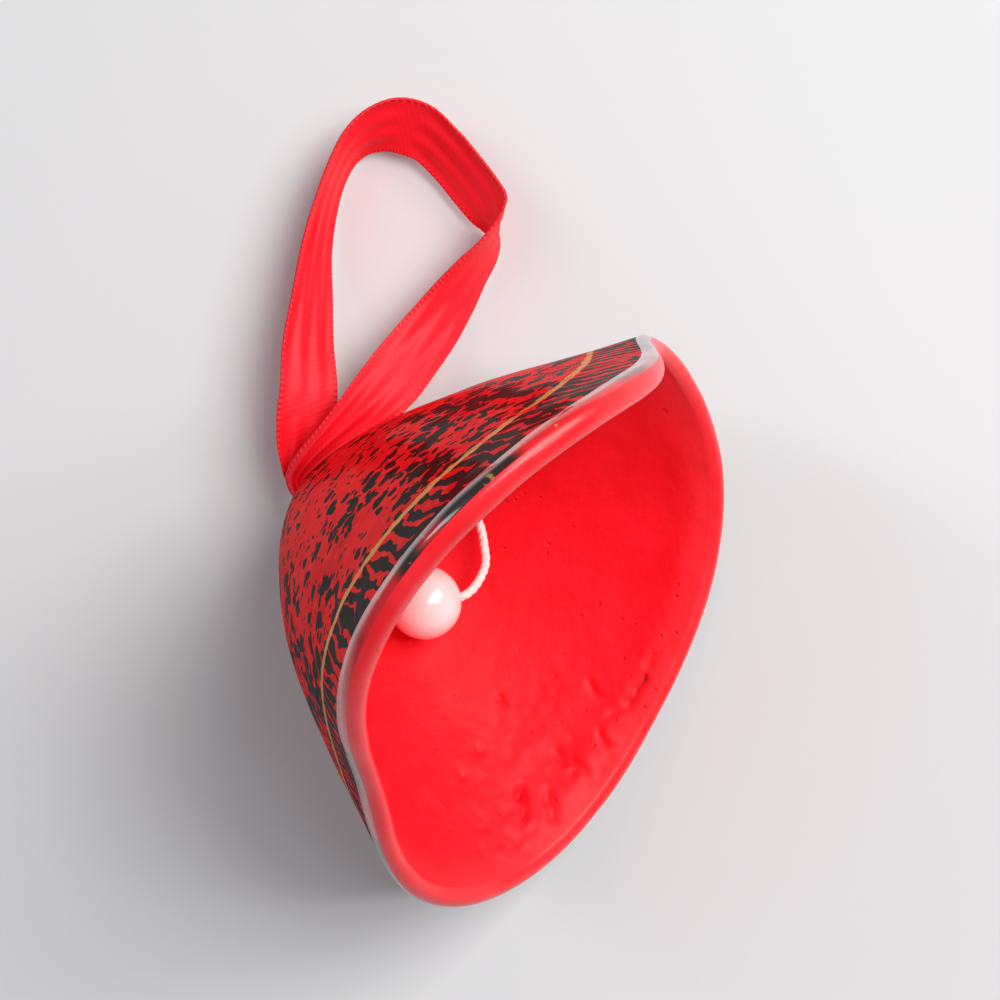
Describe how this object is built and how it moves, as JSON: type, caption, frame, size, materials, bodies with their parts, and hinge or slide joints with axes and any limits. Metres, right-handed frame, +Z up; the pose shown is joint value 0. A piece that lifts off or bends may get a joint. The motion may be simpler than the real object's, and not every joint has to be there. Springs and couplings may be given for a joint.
{
  "type": "christmas bell ornament",
  "caption": "Hand-made papier-mache bell lying on its side, with a satin hanging loop through its crown and a pearl clapper on a string in its mouth.",
  "frame": {"origin": "on the table under the middle of the bell as it lies", "axes": "+Z up; +X the side the mouth looks to; +Y the way the ribbon loop lies"},
  "size_m": [0.046, 0.0818, 0.0615],
  "materials": {
    "painted_shell": "clear lacquer over red and black hand painting on papier-mache",
    "satin": "satin ribbon",
    "thread": "twisted thread",
    "pearl": "pearl lustre"
  },
  "bodies": {
    "bell": {"bell_shell": "painted_shell"},
    "ribbon_neck": {"ribbon_knot": "satin", "ribbon_tails": "satin"},
    "ribbon": {"ribbon_loop": "satin"},
    "clapper_tie": {"string_knot": "thread"},
    "clapper": {"clapper_string": "thread", "bead_stop_knot": "thread"},
    "bead": {"pearl_bead": "pearl"}
  },
  "joints": [
    {"name": "ribbon_turn", "type": "hinge", "parent": "bell", "child": "ribbon_neck", "pos_m": [-0.0205, 0.0129, 0.0059], "axis": [0.78, -0.4306, 0.454], "range_deg": [0, 90]},
    {"name": "ribbon_swing", "type": "hinge", "parent": "ribbon_neck", "child": "ribbon", "pos_m": [-0.0214, 0.0136, 0.0052], "axis": [0, 0, 1], "range_deg": [0, 75]},
    {"name": "clapper_roll", "type": "hinge", "parent": "bell", "child": "clapper_tie", "pos_m": [-0.01362, 0.00912, 0.00991], "axis": [-0.78, 0.4306, -0.454], "range_deg": [-25, 8]},
    {"name": "clapper_swing", "type": "hinge", "parent": "clapper_tie", "child": "clapper", "pos_m": [-0.01362, 0.00912, 0.00991], "axis": [-0.797, -0.604, 0], "range_deg": [0, 85]},
    {"name": "bead_spin", "type": "hinge", "parent": "clapper", "child": "bead", "pos_m": [-0.0083, 0.0021, 0.0066], "axis": [-0.9923, -0.121, 0.027], "continuous": true}
  ]
}
